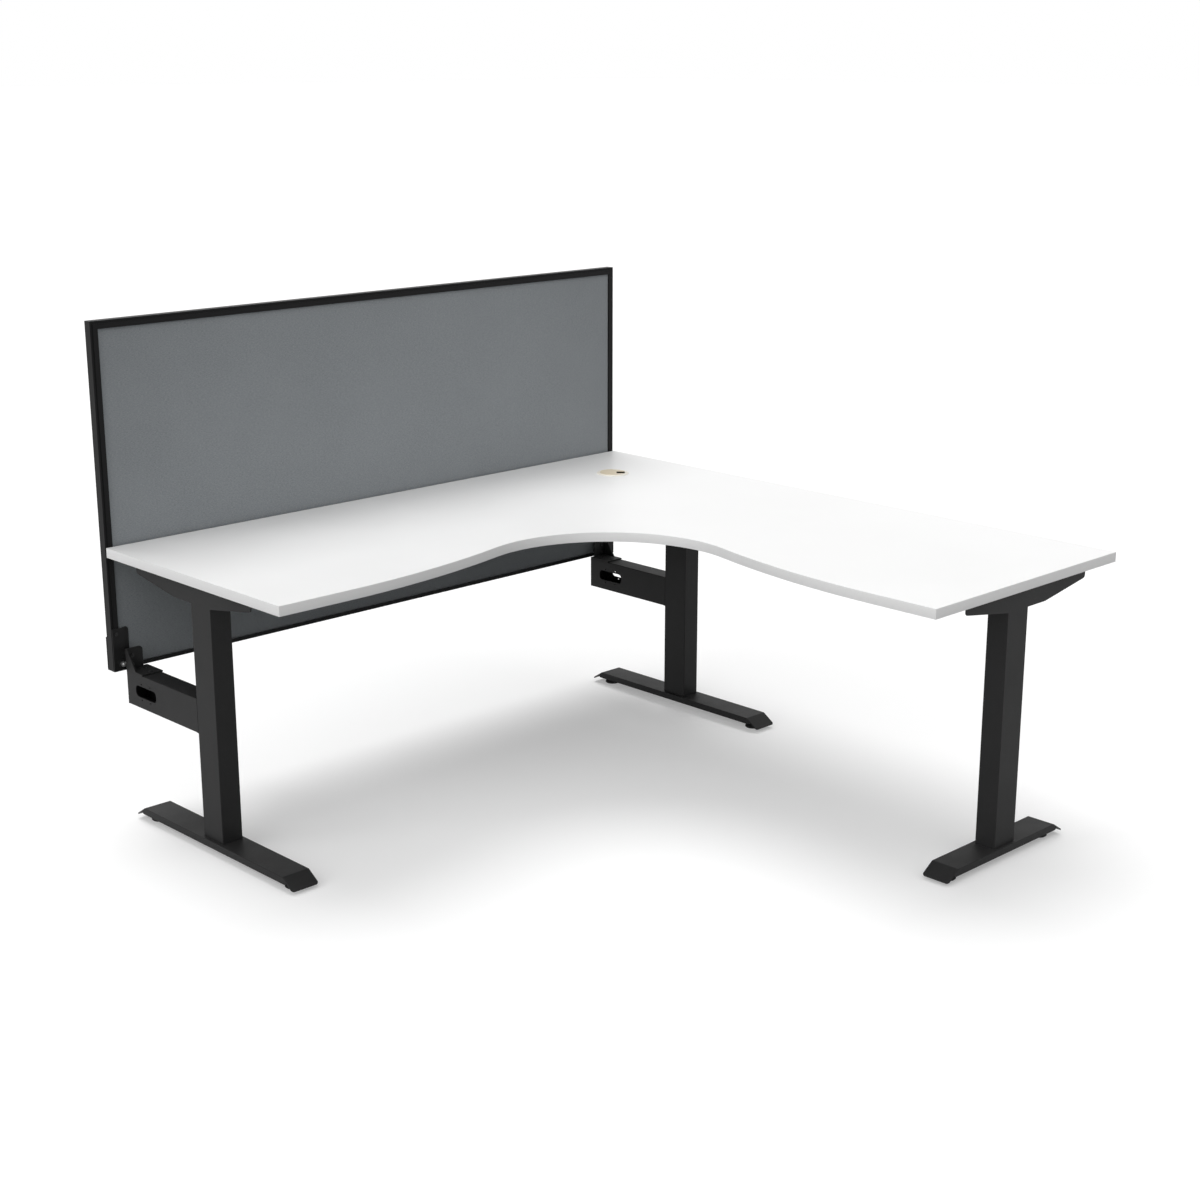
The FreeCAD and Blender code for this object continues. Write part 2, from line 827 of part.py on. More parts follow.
def make_leg_plates():
    """Plates welded in the ends of the columns, the floors of the brackets, and their bolts."""
    base_plates = []
    top_plates = []
    floors = []
    foot_bolts = []
    bracket_bolts = []
    plate_depth = column_inner_depth - d.plate_clearance * 2
    plate_width = column_inner_width - d.plate_clearance * 2
    plate_spans = (plate_depth, plate_width, d.column_plate)
    floor_length = bracket_flat_half * 2
    floor_width = channel_width - d.plate_clearance * 2
    for leg in legs:
        spots = leg_bolt_spots()
        base = leg.block(-plate_depth / 2, -plate_width / 2, d.foot_height, plate_spans)
        holes = [hole(leg.spot(a, c, d.foot_height), "up", d.column_plate, bolt_hole) for a, c in spots]
        base_plates.append(drill(base, holes))
        low = bracket_bottom - d.column_plate
        top = leg.block(-plate_depth / 2, -plate_width / 2, low, plate_spans)
        holes = [hole(leg.spot(a, c, low), "up", d.column_plate, bolt_hole) for a, c in spots]
        top_plates.append(drill(top, holes))
        floor = leg.block(-bracket_flat_half - bracket_shift, -floor_width / 2, bracket_bottom,
                          (floor_length, floor_width, d.bracket_floor))
        holes = [hole(leg.spot(a, c, bracket_bottom), "up", d.bracket_floor, bolt_hole) for a, c in spots]
        floors.append(drill(floor, holes))
        for a, c in spots:
            under = leg.spot(a, c, d.foot_height - d.foot_sheet)
            foot_bolts.append(bolt(under, "up", d.foot_sheet + d.column_plate))
            above = leg.spot(a, c, bracket_bottom + d.bracket_floor)
            bracket_bolts.append(bolt(above, "down", d.bracket_floor + d.column_plate))
    keep(group(base_plates), "column_base_plates")
    keep(group(top_plates), "column_top_plates")
    keep(group(floors), "bracket_floor_plates")
    keep(group(foot_bolts), "foot_bolts")
    keep(group(bracket_bolts), "bracket_bolts")


def make_levellers():
    """A threaded nut under each foot end, a stud that turns in it and a pad that the stud carries."""
    nut_bottom = d.foot_height - d.foot_side_drop
    nut_top = d.foot_height - d.foot_sheet
    collar_top = nut_bottom - d.leveller_nut_gap
    ball_low = d.leveller_socket_floor
    ball_high = ball_low + d.leveller_ball_height
    gap = d.leveller_running_gap
    stud_top = nut_top - d.leveller_top_gap
    slack = d.leveller_stud_radius + gap
    socket = d.leveller_ball_radius + gap
    nuts = []
    for leg in legs:
        for end, side in (("front", 1), ("back", -1)):
            along = (leg.foot_length / 2 - d.leveller_inset) * side
            nut = hexagon(leg.spot(along, ZERO, nut_bottom), "up", d.leveller_nut_radius,
                          nut_top - nut_bottom)
            below = leg.spot(along, ZERO, nut_bottom - d.cut_overrun)
            thread = cylinder(below, "up", slack, nut_top - nut_bottom + d.cut_overrun * 2)
            nuts.append(drill(nut, [thread]))

            pad_body = new_body(f"pad_{leg.name}_{end}")
            sketch = new_sketch(pad_body, "XZ_Plane")
            draw_outline(sketch, corners([
                (ZERO, ZERO),
                (d.leveller_pad_radius - d.leveller_pad_bevel, ZERO),
                (d.leveller_pad_radius, d.leveller_pad_bevel),
                (d.leveller_pad_radius, d.leveller_pad_height - d.leveller_pad_bevel),
                (d.leveller_pad_radius - d.leveller_pad_bevel, d.leveller_pad_height),
                (d.leveller_collar_radius, d.leveller_pad_height + d.leveller_pad_bevel),
                (d.leveller_collar_radius, collar_top),
                (slack, collar_top),
                (slack, ball_high + gap),
                (socket, ball_high + gap),
                (socket, ball_low - gap),
                (ZERO, ball_low - gap),
            ]))
            revolve(pad_body, sketch)
            place(pad_body, leg.spot(along, ZERO, ZERO))
            keep(pad_body, f"leveller_pad_{leg.name}_{end}")

            stud = new_body(f"stud_{leg.name}_{end}")
            sketch = new_sketch(stud, "XZ_Plane")
            draw_outline(sketch, corners([
                (ZERO, ball_low),
                (d.leveller_ball_radius, ball_low),
                (d.leveller_ball_radius, ball_high),
                (d.leveller_stud_radius, ball_high),
                (d.leveller_stud_radius, stud_top - d.leveller_tip_bevel),
                (d.leveller_stud_radius - d.leveller_tip_bevel, stud_top),
                (ZERO, stud_top),
            ]))
            revolve(stud, sketch)
            place(stud, leg.spot(along, ZERO, ZERO))
            keep(stud, f"leveller_stud_{leg.name}_{end}")
    keep(group(nuts), "leveller_nuts")


def make_beams():
    """Two hollow beams that tie the legs together under the worktop, with end plates and bolts."""
    low = top_underside - d.beam_height
    middle = top_underside - d.beam_height / 2
    rear_y = corner_y - d.beam_line
    side_x = corner_x - d.beam_line
    half_column = d.column_width / 2
    rear_start = left_leg.x + half_column
    rear_end = corner_leg.x - half_column
    side_start = rear_y - d.beam_width / 2
    side_end = right_leg.y + half_column

    rear = tube("rear_tube", "YZ_Plane", d.beam_width, d.beam_height, d.beam_wall, d.beam_corner,
                rear_end - rear_start - d.beam_plate * 2)
    place(rear, (rear_start + d.beam_plate, rear_y, middle))
    side = tube("side_tube", "XZ_Plane", d.beam_width, d.beam_height, d.beam_wall, d.beam_corner,
                side_start - side_end - d.beam_plate * 2)
    place(side, (side_x, side_start - d.beam_plate, middle))
    keep(side, "side_beam")

    half_plate = d.beam_plate_width / 2
    along_x = (d.beam_plate, d.beam_plate_width, d.beam_height)
    along_y = (d.beam_plate_width, d.beam_plate, d.beam_height)
    grip = d.bracket_sheet + d.beam_plate
    plates = []
    bolts = []
    ends = (
        (left_leg, box((rear_start, rear_y - half_plate, low), along_x)),
        (corner_leg, box((rear_end - d.beam_plate, rear_y - half_plate, low), along_x)),
        (right_leg, box((side_x - half_plate, side_end, low), along_y)),
    )
    for leg, plate in ends:
        spots = beam_bolt_spots(leg)
        seats = [moved(at, leg.inward(), d.bracket_sheet) for at in spots]
        plates.append(drill(plate, [hole(at, leg.inward(), d.beam_plate, bolt_hole) for at in seats]))
        bolts.extend(bolt(at, leg.inward(), grip) for at in spots)
    tee_front = side_start - d.beam_plate
    tee_spots = [(side_x + d.beam_bolt_pitch / 2 * sign, tee_front, middle) for sign in (-1, 1)]
    tee = box((side_x - half_plate, tee_front, low), along_y)
    plates.append(drill(tee, [hole(at, "back", d.beam_plate, bolt_hole) for at in tee_spots]))
    bolts.extend(bolt(at, "back", d.beam_plate + d.beam_wall) for at in tee_spots)
    wall_spots = [moved(at, "back", d.beam_plate) for at in tee_spots]
    keep(drill(rear, [hole(at, "back", d.beam_wall, bolt_hole) for at in wall_spots]), "rear_beam")
    keep(group(plates), "beam_end_plates")
    keep(group(bolts), "beam_bolts")


def arm_bolt_spots(leg, y):
    """The four bolt places where an arm meets its column, on a plane across the arm."""
    height = d.arm_top - d.arm_height / 2
    return [(leg.x + d.arm_bolt_gauge / 2 * across, y, height + d.arm_bolt_pitch / 2 * up)
            for across in (-1, 1) for up in (-1, 1)]


def make_arms():
    """Two box arms that reach back from the columns, with flanges, bolts and end caps."""
    height = d.arm_top - d.arm_height / 2
    flange_back = column_back + d.arm_flange
    cap_inner_width = d.column_width - d.arm_wall * 2 - d.plate_clearance * 2
    cap_inner_height = d.arm_height - d.arm_wall * 2 - d.plate_clearance * 2
    slot_line = d.arm_slot_line - d.arm_end_gap
    flanges = []
    nut_plates = []
    bolts = []
    caps = []
    for leg in (left_leg, corner_leg):
        arm = tube(f"arm_tube_{leg.name}", "XZ_Plane", d.column_width, d.arm_height, d.arm_wall,
                   d.arm_corner, arm_back - flange_back)
        sketch = new_sketch(arm, "YZ_Plane")
        slot = rounded(-slot_line, ZERO, d.arm_slot_length, d.arm_slot_height, d.arm_slot_round)
        draw_outline(sketch, slot)
        for along in (-1, 1):
            for up in (-1, 1):
                draw_circle(sketch, d.arm_hole_pitch / 2 * along - slot_line, d.arm_hole_rise / 2 * up,
                            d.arm_hole_radius)
        pocket(arm, sketch, d.column_width + d.cut_overrun)
        place(arm, (leg.x, arm_back, height))
        top_holes = [hole(at, "down", d.arm_wall, screw_hole) for at in holder_base_spots(leg, d.arm_top)]
        keep(drill(arm, top_holes), f"screen_arm_{leg.name}")

        left = leg.x - d.column_width / 2
        plate = box((left, column_back, arm_bottom), (d.column_width, d.arm_flange, d.arm_height))
        holes = [hole(at, "back", d.arm_flange, bolt_hole) for at in arm_bolt_spots(leg, column_back)]
        flanges.append(drill(plate, holes))

        inner_width = column_inner_width - d.plate_clearance * 2 - d.column_corner
        wall_face = column_back - d.column_wall
        plate = box((leg.x - inner_width / 2, wall_face - d.arm_nut_plate, arm_bottom),
                    (inner_width, d.arm_nut_plate, d.arm_height))
        holes = [hole(at, "front", d.arm_nut_plate, bolt_hole) for at in arm_bolt_spots(leg, wall_face)]
        nut_plates.append(drill(plate, holes))
        grip = d.arm_flange + d.column_wall + d.arm_nut_plate
        bolts.extend(bolt(at, "front", grip) for at in arm_bolt_spots(leg, flange_back))

        lid = box((left, arm_back, arm_bottom), (d.column_width, d.arm_cap_lip, d.arm_height))
        plug = box((leg.x - cap_inner_width / 2, arm_back - d.arm_cap_plug, height - cap_inner_height / 2),
                   (cap_inner_width, d.arm_cap_plug, cap_inner_height))
        core = box((leg.x - cap_inner_width / 2 + d.arm_wall, arm_back - d.arm_cap_plug - d.cut_overrun,
                    height - cap_inner_height / 2 + d.arm_wall),
                   (cap_inner_width - d.arm_wall * 2, d.arm_cap_plug + d.cut_overrun,
                    cap_inner_height - d.arm_wall * 2))
        caps.append(fuse([lid, drill(plug, [core])]))
    keep(group(flanges), "arm_flanges")
    keep(group(nut_plates), "arm_nut_plates")
    keep(group(bolts), "arm_bolts")
    keep(group(caps), "arm_end_caps")


def holder_base_spots(leg, z):
    """The two screw places that fix a screen bracket on its arm."""
    return [(leg.x, corner_y - line, z) for line in (d.holder_base_near, d.holder_base_far)]


def holder_screw_spots(leg, outer, y):
    """The two screw places that fix a screen bracket to the screen."""
    x = leg.x + (d.column_width / 2 - d.holder_screw_inset) * outer
    low = d.screen_bottom + d.holder_screw_rise
    return [(x, y, low), (x, y, low + d.holder_screw_pitch)]


def make_screen_holders():
    """Brackets on the arms: a base plate, a sloping outer web and an upright, spaced off the screen."""
    half = d.column_width / 2 + d.holder_overhang
    rise = d.holder_height
    face = arm_back - d.holder_plate
    spacer_length = screen_front - d.clip_plate - arm_back
    arm_screws = []
    screen_screws = []
    spacers = []
    for leg, outer in screen_sides:
        holder = new_body(f"holder_{leg.name}")
        sketch = new_sketch(holder, "XY_Plane")
        draw_outline(sketch, rectangle(-half, -d.holder_base_length, half * 2, d.holder_base_length))
        pad(holder, sketch, d.holder_plate)
        sketch = new_sketch(holder, "XZ_Plane")
        inner = (half - d.holder_width) * outer
        turn = (d.holder_round, outer > 0)
        path = [
            (half * outer, ZERO, None),
            (half * outer, rise, None),
            (inner + d.holder_round * outer, rise, turn),
            (inner, rise - d.holder_round, None),
            (inner, ZERO, None),
        ]
        draw_outline(sketch, path)
        pad(holder, sketch, d.holder_plate)
        sketch = new_sketch(holder, "YZ_Plane", (half - d.holder_plate) * outer if outer > 0 else -half)
        draw_outline(sketch, corners([
            (ZERO, ZERO),
            (ZERO, rise),
            (-d.holder_web_top, rise),
            (-d.holder_web_foot, d.holder_plate),
            (-d.holder_web_foot, ZERO),
        ]))
        pad(holder, sketch, d.holder_plate)
        place(holder, (leg.x, arm_back, d.arm_top))
        holes = [hole(at, "up", d.holder_plate, screw_hole) for at in holder_base_spots(leg, d.arm_top)]
        screw_spots = holder_screw_spots(leg, outer, face)
        holes += [hole(at, "back", d.holder_plate, screw_hole) for at in screw_spots]
        keep(drill(holder, holes), f"screen_bracket_{leg.name}")
        tops = holder_base_spots(leg, d.arm_top + d.holder_plate)
        arm_screws.extend(screw(at, "down", d.holder_plate + d.arm_wall * 2) for at in tops)
        grip = (d.holder_plate + spacer_length + d.clip_plate + panel_recess + d.fabric_thickness
                + d.screw_bite)
        screen_screws.extend(screw(at, "back", grip) for at in screw_spots)
        for at in holder_screw_spots(leg, outer, arm_back):
            sleeve = cylinder(at, "back", d.holder_spacer_radius, spacer_length)
            spacers.append(drill(sleeve, [hole(at, "back", spacer_length, screw_hole)]))
    keep(group(arm_screws), "screen_bracket_base_screws")
    keep(group(screen_screws), "screen_bracket_screws")
    keep(group(spacers), "screen_bracket_spacers")


def clip_bolt_spots(y):
    """The place of the through bolt in each end clip, left then right."""
    height = d.screen_bottom + d.clip_bolt_rise
    inset = half_length - d.clip_bolt_inset
    return [(-inset, y, height), (inset, y, height)]


def clip_screw_spots(y):
    """The place of the screw that holds each end clip to its stile, left then right."""
    height = d.screen_bottom + d.clip_screw_rise
    inset = half_length - d.clip_screw_inset
    return [(-inset, y, height), (inset, y, height)]


def clip_leaf(sign, at, width, low, tall):
    """One upright plate of a clip, rounded at its inner top corner."""
    leaf = new_body("clip_leaf")
    sketch = new_sketch(leaf, "XZ_Plane")
    inner = -width * sign
    draw_outline(sketch, [
        (ZERO, low, None),
        (ZERO, tall, None),
        (inner + d.clip_round * sign, tall, (d.clip_round, sign > 0)),
        (inner, tall - d.clip_round, None),
        (inner, low, None),
    ])
    pad(leaf, sketch, d.clip_plate)
    place(leaf, at)
    return leaf


def make_clips():
    """Folded clips that grip the lower corners of the screen and tie it to the brackets."""
    front = screen_front - d.clip_plate
    back = screen_back + d.clip_plate
    low = d.screen_bottom - d.clip_plate
    depth = d.screen_depth + d.clip_plate * 2
    fold = d.clip_width - d.clip_plate
    upper = d.clip_height - d.clip_strip_height
    for index, (leg, sign) in enumerate(screen_sides):
        end = half_length * sign
        reach = half_length - holder_screw_spots(leg, sign, front)[0][0] * sign + d.clip_strip_margin
        left = end if sign < 0 else end - d.clip_width
        fold_left = end + fold if sign < 0 else end - d.clip_width
        strip_left = end if sign < 0 else end - reach
        plates = [
            box((left, front, low), (d.clip_width, d.clip_plate, d.clip_height + d.clip_plate)),
            box((left, front, low), (d.clip_width, depth, d.clip_plate)),
            box((strip_left, front, low), (reach, d.clip_plate, d.clip_strip_height + d.clip_plate)),
            box((fold_left, front, d.screen_bottom + d.clip_strip_height),
                (d.clip_plate, d.clip_plate + panel_recess, upper)),
            clip_leaf(sign, (end - fold * sign, screen_front + panel_recess, d.screen_bottom),
                      d.clip_flange + d.clip_plate, d.clip_strip_height, d.clip_height),
            clip_leaf(sign, (end, back, d.screen_bottom), d.clip_width, -d.clip_plate, d.clip_back_height),
        ]
        holes = [hole(clip_bolt_spots(front)[index], "back", depth, bolt_hole)]
        spots = holder_screw_spots(leg, sign, front) + [clip_screw_spots(front)[index]]
        holes += [hole(at, "back", d.clip_plate, screw_hole) for at in spots]
        keep(drill(fuse(plates), holes), f"screen_clip_{leg.name}")
    grip = depth + d.clip_nut_height + d.clip_bolt_end
    keep(group([bolt(at, "front", grip) for at in clip_bolt_spots(back)]), "screen_clip_bolts")
    nuts = []
    for at in clip_bolt_spots(front):
        nut = hexagon(at, "front", d.clip_nut_radius, d.clip_nut_height)
        nuts.append(drill(nut, [hole(at, "front", d.clip_nut_height, bolt_hole)]))
    keep(group(nuts), "screen_clip_nuts")
    screws = [screw(at, "back", d.clip_plate + panel_recess) for at in clip_screw_spots(front)]
    keep(group(screws), "screen_clip_screws")


def grooved_face():
    """The inner side of a bar that holds the panel's edge in a groove, from front to back."""
    half_depth = d.screen_depth / 2
    groove_half = panel_depth / 2
    groove_floor = d.frame_face - d.frame_groove
    return [
        (half_depth, d.frame_face),
        (groove_half, d.frame_face),
        (groove_half, groove_floor),
        (-groove_half, groove_floor),
        (-groove_half, d.frame_face),
        (-half_depth, d.frame_face),
    ]


def plain_face():
    """The inner side of the low bar that the panel stands on."""
    half_depth = d.screen_depth / 2
    return [(half_depth, d.bottom_face), (-half_depth, d.bottom_face)]


def frame_bar(name, length, inner_side, turn, at):
    """One mitred bar of the screen's frame: a stepped section with a key chamber."""
    half_depth = d.screen_depth / 2
    step_half = half_depth - d.frame_step_depth
    bar = new_body(name)
    sketch = new_sketch(bar, "YZ_Plane")
    outer_side = [(-half_depth, d.frame_step), (-step_half, d.frame_step), (-step_half, ZERO),
                  (step_half, ZERO), (step_half, d.frame_step), (half_depth, d.frame_step)]
    draw_outline(sketch, corners(outer_side + inner_side))
    draw_outline(sketch, rectangle(-d.frame_key_depth / 2, d.frame_key_near, d.frame_key_depth,
                                   d.frame_key_far - d.frame_key_near))
    pad(bar, sketch, length, both_ways=True)
    sketch = new_sketch(bar, "XZ_Plane")
    end = length / 2
    over = d.cut_overrun
    for sign in (-1, 1):
        draw_outline(sketch, corners([
            ((end + over) * sign, -over),
            ((end + over) * sign, d.frame_face + over),
            ((end - d.frame_face - over) * sign, d.frame_face + over),
        ]))
    pocket(bar, sketch, d.screen_depth + over)
    place(bar, at, turn)
    return bar


def make_screen():
    """The screen: four frame bars with corner keys, a core board and a stretched fabric on each face."""
    middle_y = screen_front + d.screen_depth / 2
    top = d.screen_bottom + d.screen_height
    middle_z = d.screen_bottom + d.screen_height / 2
    axis = FreeCAD.Vector(0, 1, 0)
    flat = FreeCAD.Rotation()
    bottom = frame_bar("bottom_bar", d.wing_length, plain_face(), flat, (ZERO, middle_y, d.screen_bottom))
    keep(bottom, "screen_bottom_rail")
    turn = FreeCAD.Rotation(axis, 180)
    top_bar = frame_bar("top_bar", d.wing_length, grooved_face(), turn, (ZERO, middle_y, top))
    keep(top_bar, "screen_top_rail")
    turn = FreeCAD.Rotation(axis, 90)
    left_bar = frame_bar("left_bar", d.screen_height, grooved_face(), turn,
                         (-half_length, middle_y, middle_z))
    pilots = [cylinder(at, "back", d.screw_radius, panel_recess) for at in clip_screw_spots(screen_front)]
    keep(drill(left_bar, pilots[:1]), "screen_left_stile")
    turn = FreeCAD.Rotation(axis, -90)
    right_bar = frame_bar("right_bar", d.screen_height, grooved_face(), turn,
                          (half_length, middle_y, middle_z))
    keep(drill(right_bar, pilots[1:]), "screen_right_stile")

    seat = d.frame_face - d.frame_groove
    left = seat - half_length
    low = d.screen_bottom + d.bottom_face
    width = d.wing_length - seat * 2
    tall = d.screen_height - seat - d.bottom_face
    front = screen_front + panel_recess
    core_front = front + d.fabric_thickness
    core_back = core_front + d.core_thickness
    through = [hole(at, "back", panel_depth, bolt_hole) for at in clip_bolt_spots(front)]
    pilots = []
    for leg, outer in screen_sides:
        pilots += [cylinder(at, "back", d.screw_radius, d.fabric_thickness + d.screw_bite)
                   for at in holder_screw_spots(leg, outer, front)]
    core = box((left, core_front, low), (width, d.core_thickness, tall))
    keep(drill(core, through + pilots), "screen_core")
    front_fabric = box((left, front, low), (width, d.fabric_thickness, tall))
    keep(drill(front_fabric, through + pilots), "screen_front_fabric")
    back_fabric = box((left, core_back, low), (width, d.fabric_thickness, tall))
    keep(drill(back_fabric, through), "screen_back_fabric")

    keys = []
    near = d.frame_key_near + d.key_clearance
    thick = d.frame_key_far - d.frame_key_near - d.key_clearance * 2
    depth = d.frame_key_depth - d.key_clearance * 2
    key_y = middle_y - depth / 2
    for sign in (-1, 1):
        for base, up in ((d.screen_bottom, 1), (top, -1)):
            corner = half_length * sign
            x_far = corner - (near + d.key_leg) * sign
            x_leg = x_far if sign > 0 else corner + near
            z_leg = base + near if up > 0 else base - near - thick
            flat_leg = box((x_leg, key_y, z_leg), (d.key_leg, depth, thick))
            x_post = corner - near - thick if sign > 0 else corner + near
            z_post = base + near if up > 0 else base - near - d.key_leg
            post = box((x_post, key_y, z_post), (thick, depth, d.key_leg))
            keys.append(fuse([flat_leg, post]))
    keep(group(keys), "screen_corner_keys")


def make_top_screws():
    """The screws that hold the worktop on the top brackets."""
    screws = []
    for leg in legs:
        for along in top_screw_spots():
            under = leg.spot(along, ZERO, top_underside - d.bracket_sheet)
            screws.append(screw(under, "up", d.bracket_sheet + d.screw_bite))
    keep(group(screws), "top_screws")


def check_and_write():
    """Stop on a failed feature or a bad shape, then write one file for each node."""
    doc.recompute()
    for item in doc.Objects:
        if "Invalid" in item.State or "Error" in item.State:
            raise RuntimeError(f"{item.Name} {item.Label}: {item.State}")
    for label, item in nodes:
        if item.Shape.isNull() or not item.Shape.isValid() or not item.Shape.Solids:
            raise RuntimeError(f"{label}: bad shape")
    os.makedirs("parts", exist_ok=True)
    for label, item in nodes:
        item.Shape.exportStep(f"parts/{label}.step")


make_worktop()
make_cable_port()
for one_leg in legs:
    make_column(one_leg)
    make_foot(one_leg)
    make_top_bracket(one_leg)
make_leg_plates()
make_levellers()
make_beams()
make_arms()
make_screen_holders()
make_clips()
make_screen()
make_top_screws()
check_and_write()
print(f"{len(nodes)} nodes written")
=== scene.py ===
import json
import math

import bpy
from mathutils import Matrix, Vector, noise


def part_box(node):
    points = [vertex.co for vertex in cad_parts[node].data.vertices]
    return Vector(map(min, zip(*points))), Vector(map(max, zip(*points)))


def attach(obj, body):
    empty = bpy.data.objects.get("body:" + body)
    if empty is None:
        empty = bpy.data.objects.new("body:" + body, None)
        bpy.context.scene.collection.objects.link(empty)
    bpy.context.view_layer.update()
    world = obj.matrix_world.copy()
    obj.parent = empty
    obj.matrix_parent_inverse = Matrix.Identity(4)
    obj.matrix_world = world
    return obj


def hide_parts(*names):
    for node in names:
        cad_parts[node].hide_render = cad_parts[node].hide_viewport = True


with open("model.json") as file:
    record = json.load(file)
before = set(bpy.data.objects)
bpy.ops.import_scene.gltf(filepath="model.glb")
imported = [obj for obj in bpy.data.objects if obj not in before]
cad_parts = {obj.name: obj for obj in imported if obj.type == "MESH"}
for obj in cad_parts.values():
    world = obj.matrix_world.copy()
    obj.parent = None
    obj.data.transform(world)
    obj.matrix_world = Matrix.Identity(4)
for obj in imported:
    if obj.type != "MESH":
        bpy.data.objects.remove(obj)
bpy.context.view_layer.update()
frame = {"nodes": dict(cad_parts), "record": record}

# The looks of the corner workstation: metres, in the part's own frame.
# The sitter is on the -Y side, the screen stands along +Y and the side wing runs to -Y at +X.

NODES = frame["nodes"]
SCENE = bpy.context.scene

# Colours, in pairs from dark to light where a finish is mottled

WORKTOP_TONES = ((0.81, 0.81, 0.807), (0.835, 0.835, 0.833))
BAND_TONES = ((0.8, 0.8, 0.798), (0.835, 0.835, 0.833))
POWDER_COAT_TONES = ((0.0105, 0.0105, 0.0107), (0.0155, 0.0155, 0.0158))
BLACK_OXIDE_TONES = ((0.01, 0.01, 0.0105), (0.02, 0.02, 0.021))
MOULDED_TONES = ((0.01, 0.01, 0.0103), (0.016, 0.016, 0.0163))
PORT_RING_TONES = ((0.76, 0.725, 0.645), (0.8, 0.765, 0.685))
PORT_CAP_TONES = ((0.6, 0.52, 0.385), (0.66, 0.575, 0.43))
FRAME_BAR_TONES = ((0.007, 0.007, 0.0073), (0.012, 0.012, 0.0125))
ZINC_TONES = ((0.66, 0.665, 0.67), (0.82, 0.825, 0.82))
CHIP_TONES = ((0.3, 0.2, 0.115), (0.56, 0.43, 0.28))
YARN_TONES = ((0.2, 0.217, 0.231), (0.367, 0.391, 0.408))
CROSS_YARN = (0.314, 0.335, 0.351)
# The dark painted into the weave's valleys as painted shade
WEAVE_VALLEY_SHADE = (0.095, 0.102, 0.109)
CLOTH_CLOUD = (0.384, 0.403, 0.421)
DUST = (0.42, 0.41, 0.39)
# The dark brown painted into the cable port's inside as painted shade
PORT_PAINTED_SHADE = (0.045, 0.036, 0.025)
WHITE = (1.0, 1.0, 1.0, 1.0)

# Heights below which the cable port's inside is darkened with painted shade, and the height over which
# that fades

RING_PAINTED_SHADE_TOP = 0.7236
CAP_PAINTED_SHADE_TOP = 0.7264
PAINTED_SHADE_FADE = 0.0006

# How much rub marks show, how much they lighten a coat, and how much dust and grain dull a face

RUB_SHARE = 0.35
RUB_GAIN = 1.5
RUB_LIFT = 0.004
DUST_DULLING = 0.1
GRAIN_DULLING = 0.05

# How much the crossing yarn, the painted shade in the weave's valleys and the clouds show in the cloth

CROSS_SHARE = 0.35
VALLEY_SHADE_SHARE = 0.5
VALLEY_SHADE_POWER = 2.0
CLOUD_SHARE = 0.12
WEAVE_REPEAT = 2.0

# Stretches of a pattern on X, Y and Z that draw it out into marks or lines

RUB_STRETCH = (1.0, 6.0, 3.0)
SLUB_STRETCH = (1.0, 1.0, 5.0)
TRIM_LINES = (3.0, 3.0, 1100.0)
LINES_ALONG_X = (4.0, 900.0, 900.0)
LINES_ALONG_Z = (900.0, 900.0, 4.0)

# The screen cloth

CLOTH_COLUMNS = 96
CLOTH_ROWS = 48
CLOTH_STAND_OFF = 0.00025
CLOTH_HEM = 0.003
CLOTH_CROWN = 0.0006
CLOTH_RIPPLE = 0.0002
RIPPLES_PER_METRE = 5.0
CROWN_POWER = 6
CLOTH_TUCK = 0.0003
TUCK_FROM_SHARE = 0.999
CLOTH_THICKNESS = 0.0008
YARN_WANDER = 0.0012

# The worktop's edge

BAND_EASE = 0.0008
EASE_SEGMENTS = 3
SHARP_DEGREES = 35.0
SMOOTH_DEGREES = 32.0
FLAT_DEGREES = 0.2
WELD_DISTANCE = 0.00001

# The stage: the floor and the surround have one value for light and one for what is seen

FLOOR_SIZE = 200.0
FLOOR_LIT = 0.27
FLOOR_SEEN = 0.75
FLOOR_GLOW = 0.275
SURROUND_LIT = 0.25
SURROUND_SEEN = 1.0

# Each lamp's name, strength, softness in degrees and direction

LAMPS = (
    ("overhead_lamp", 1.7, 40.0, (-0.14, -0.4, -1.0)),
    ("front_lamp", 0.83, 70.0, (0.2, 0.7, -1.0)),
    ("left_lamp", 1.47, 60.0, (1.0, 0.08, -0.45)),
)

# The camera: its place and reach in metres, turns in degrees, lens and sensor in millimetres

CAMERA_PLACE = (-3.33675, -3.42760, 1.93481)
CAMERA_YAW = 45.886
CAMERA_PITCH = 15.698
CAMERA_LENS = 58.554
CAMERA_SENSOR = 36.0
CAMERA_REACH = 300.0

# Places of the colour sockets on a Mix node

MIX_FIRST = 6
MIX_SECOND = 7
MIX_RESULT = 2


# Shader helpers

def add_node(tree, kind, settings=None, inputs=None):
    """A shader node with its settings and the values of its free inputs."""
    node = tree.nodes.new(kind)
    for key, value in (settings or {}).items():
        setattr(node, key, value)
    for key, value in (inputs or {}).items():
        node.inputs[key].default_value = value
    return node


def link(tree, source, target):
    """Feed one socket into another."""
    tree.links.new(source, target)


def maths(tree, operation, first, second=None):
    """A Math node fed by sockets or plain numbers; gives back its output."""
    node = tree.nodes.new("ShaderNodeMath")
    node.operation = operation
    for index, value in enumerate((first, second)):
        if value is None:
            continue
        if isinstance(value, (int, float)):
            node.inputs[index].default_value = value
        else:
            link(tree, value, node.inputs[index])
    return node.outputs[0]


def spread(tree, value, low, high):
    """Maps a 0 to 1 socket onto a range; gives back its output."""
    node = add_node(tree, "ShaderNodeMapRange", inputs={"To Min": low, "To Max": high})
    link(tree, value, node.inputs["Value"])
    return node.outputs["Result"]


def spread_between(tree, value, low, high):
    """Stretches a narrow band of values over 0 to 1; gives back its output."""
    node = add_node(tree, "ShaderNodeMapRange", inputs={"From Min": low, "From Max": high})
    link(tree, value, node.inputs["Value"])
    return node.outputs["Result"]


